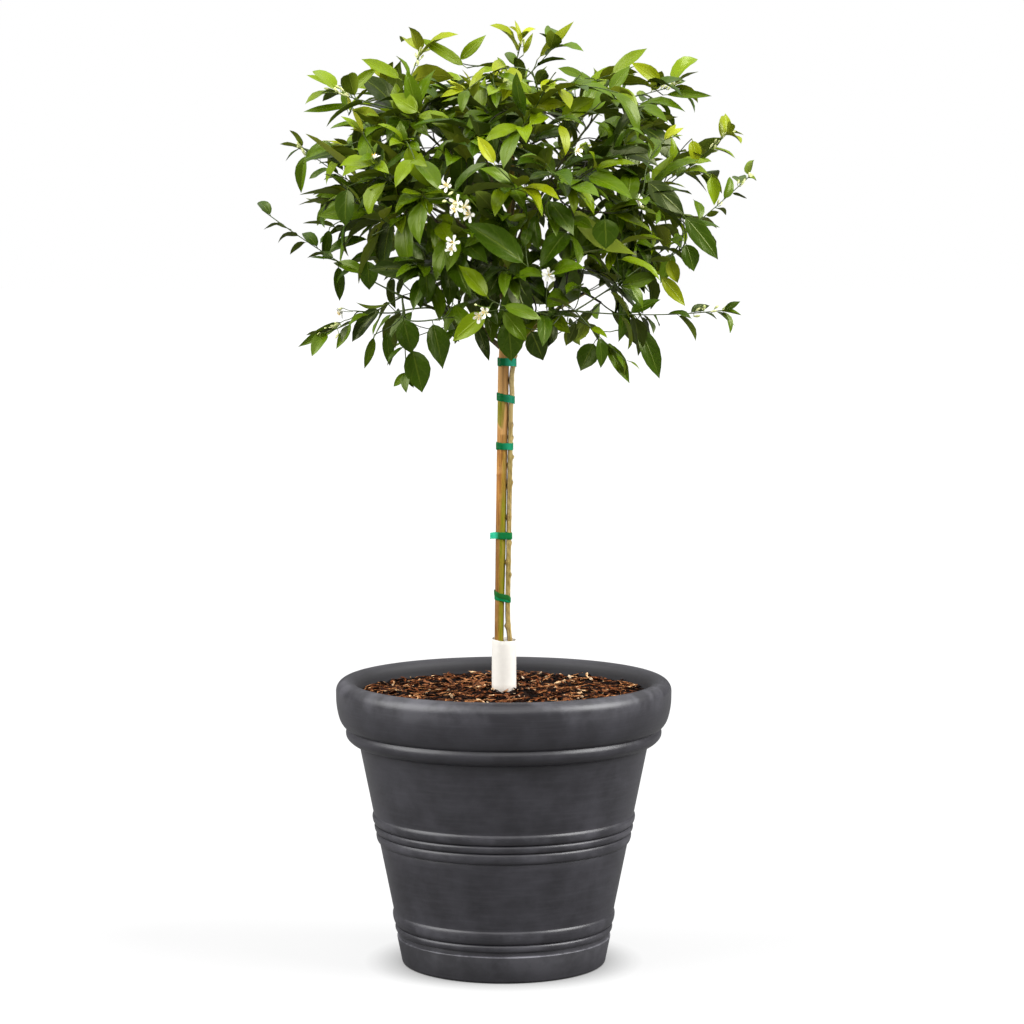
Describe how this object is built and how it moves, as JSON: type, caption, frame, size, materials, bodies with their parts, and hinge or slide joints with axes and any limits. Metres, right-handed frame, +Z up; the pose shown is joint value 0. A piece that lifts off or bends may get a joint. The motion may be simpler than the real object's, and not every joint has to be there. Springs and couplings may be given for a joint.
{
  "type": "standard citrus tree in a rolled-rim planter",
  "caption": "Young evergreen grown as a standard: clear tied trunk under a round leafy head, in a tapered rolled-rim planter of potting mix.",
  "frame": {"origin": "centre of the planter's flat underside", "axes": "+Z up the trunk, +X to the right and -Y towards the viewer of the front"},
  "size_m": [0.8465, 0.8307, 1.572],
  "materials": {
    "planter": "satin charcoal moulded resin",
    "potting_mix": "damp bark chips and coir fibre",
    "sleeve": "white satin guard sleeve",
    "bark": "young tan and olive bark",
    "tape": "green stretch tape",
    "foliage": "glossy evergreen leaves"
  },
  "bodies": {
    "root": {"pot": "planter", "soil": "potting_mix", "trunk_sleeve": "sleeve", "trunk": "bark", "second_stem": "bark", "tape_1": "tape", "tape_2": "tape", "tape_3": "tape", "tape_4": "tape", "tape_5": "tape", "bough_high_back": "bark", "bough_high_front": "bark", "bough_high_left": "bark", "bough_high_right": "bark", "bough_low_back_left": "bark", "bough_low_front_left": "bark", "bough_low_front_right": "bark", "bough_middle_back_left": "bark", "bough_middle_back_right": "bark", "bough_middle_front_left": "bark", "bough_middle_front_right": "bark", "bough_middle_right": "bark", "leaves_high_back": "foliage", "leaves_high_front": "foliage", "leaves_high_left": "foliage", "leaves_high_right": "foliage", "leaves_low_back_left": "foliage", "leaves_low_back_right": "foliage", "leaves_low_front_left": "foliage", "leaves_low_front_right": "foliage", "leaves_middle_back_left": "foliage", "leaves_middle_back_right": "foliage", "leaves_middle_front_left": "foliage", "leaves_middle_front_right": "foliage", "leaves_middle_right": "foliage", "leaves_top": "foliage", "sprig_back": "foliage", "sprig_back_low": "foliage", "sprig_front": "foliage", "sprig_hanging_left": "foliage", "sprig_hanging_right": "foliage", "sprig_leader": "foliage", "sprig_left": "foliage", "sprig_left_high": "foliage", "sprig_low_left": "foliage", "sprig_right": "foliage", "sprig_right_high": "foliage", "sprig_right_low": "foliage", "sprig_top_left": "foliage", "sprig_top_right": "foliage", "sprig_upper_left": "foliage", "sprig_upper_right": "foliage"}
  },
  "joints": []
}
